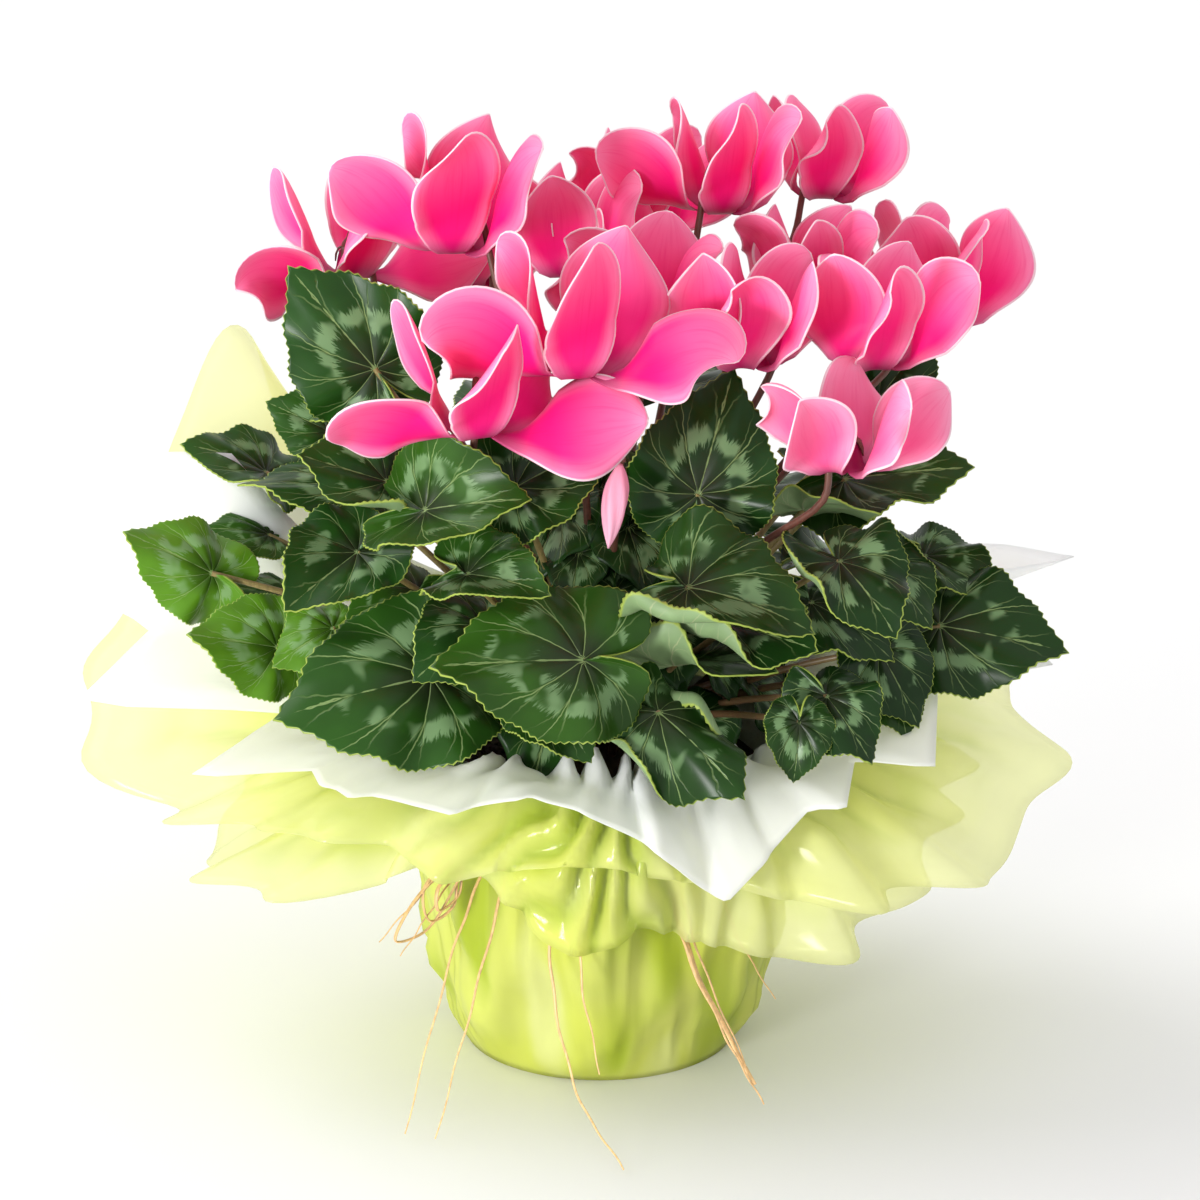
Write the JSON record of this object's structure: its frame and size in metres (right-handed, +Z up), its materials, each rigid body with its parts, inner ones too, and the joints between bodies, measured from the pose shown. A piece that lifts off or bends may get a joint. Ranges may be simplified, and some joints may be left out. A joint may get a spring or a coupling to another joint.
{
  "type": "potted cyclamen in a gift wrap",
  "caption": "Cyclamen in bloom, with heart-shaped patterned leaves and nodding pink flowers, in a nursery pot gathered in white and green wrap with a raffia tie.",
  "frame": {"origin": "centre of the flat underside of the wrapped pot, on the surface that it stands on", "axes": "+Z up along the pot's axis, -Y towards the front of the plant, +X to the viewer's right"},
  "size_m": [0.3787, 0.2719, 0.346],
  "materials": {
    "pot": "matte",
    "soil": "matte",
    "tuber": "matte",
    "leaf": "satin",
    "stem": "satin",
    "petal": "satin",
    "white_sheet": "satin",
    "green_film": "glossy",
    "raffia": "matte"
  },
  "bodies": {
    "root": {"bud": "petal", "film_inner": "green_film", "film_outer": "green_film", "flower_01": "petal", "flower_02": "petal", "flower_03": "petal", "flower_04": "petal", "flower_05": "petal", "flower_06": "petal", "flower_07": "petal", "flower_08": "petal", "flower_09": "petal", "flower_10": "petal", "flower_11": "petal", "flower_12": "petal", "flower_13": "petal", "flower_14": "petal", "flower_15": "petal", "leaf_03": "leaf", "leaf_05": "leaf", "leaf_09": "leaf", "leaf_10": "leaf", "leaf_13": "leaf", "leaf_14": "leaf", "leaf_15": "leaf", "leaf_21": "leaf", "leaves_01": "leaf", "leaves_02": "leaf", "leaves_04": "leaf", "leaves_06": "leaf", "leaves_07": "leaf", "leaves_08": "leaf", "leaves_11": "leaf", "leaves_12": "leaf", "leaves_16": "leaf", "leaves_17": "leaf", "leaves_18": "leaf", "leaves_19": "leaf", "leaves_20": "leaf", "leaves_22": "leaf", "leaves_back_1": "leaf", "leaves_back_2": "leaf", "leaves_back_3": "leaf", "leaves_back_4": "leaf", "leaves_back_5": "leaf", "leaves_back_6": "leaf", "pot": "pot", "raffia_tie": "raffia", "sheet_white": "white_sheet", "soil": "soil", "stem_bud": "stem", "stems_1": "stem", "stems_2": "stem", "stems_3": "stem", "stems_4": "stem", "stems_5": "stem", "tuber": "tuber"}
  },
  "joints": []
}
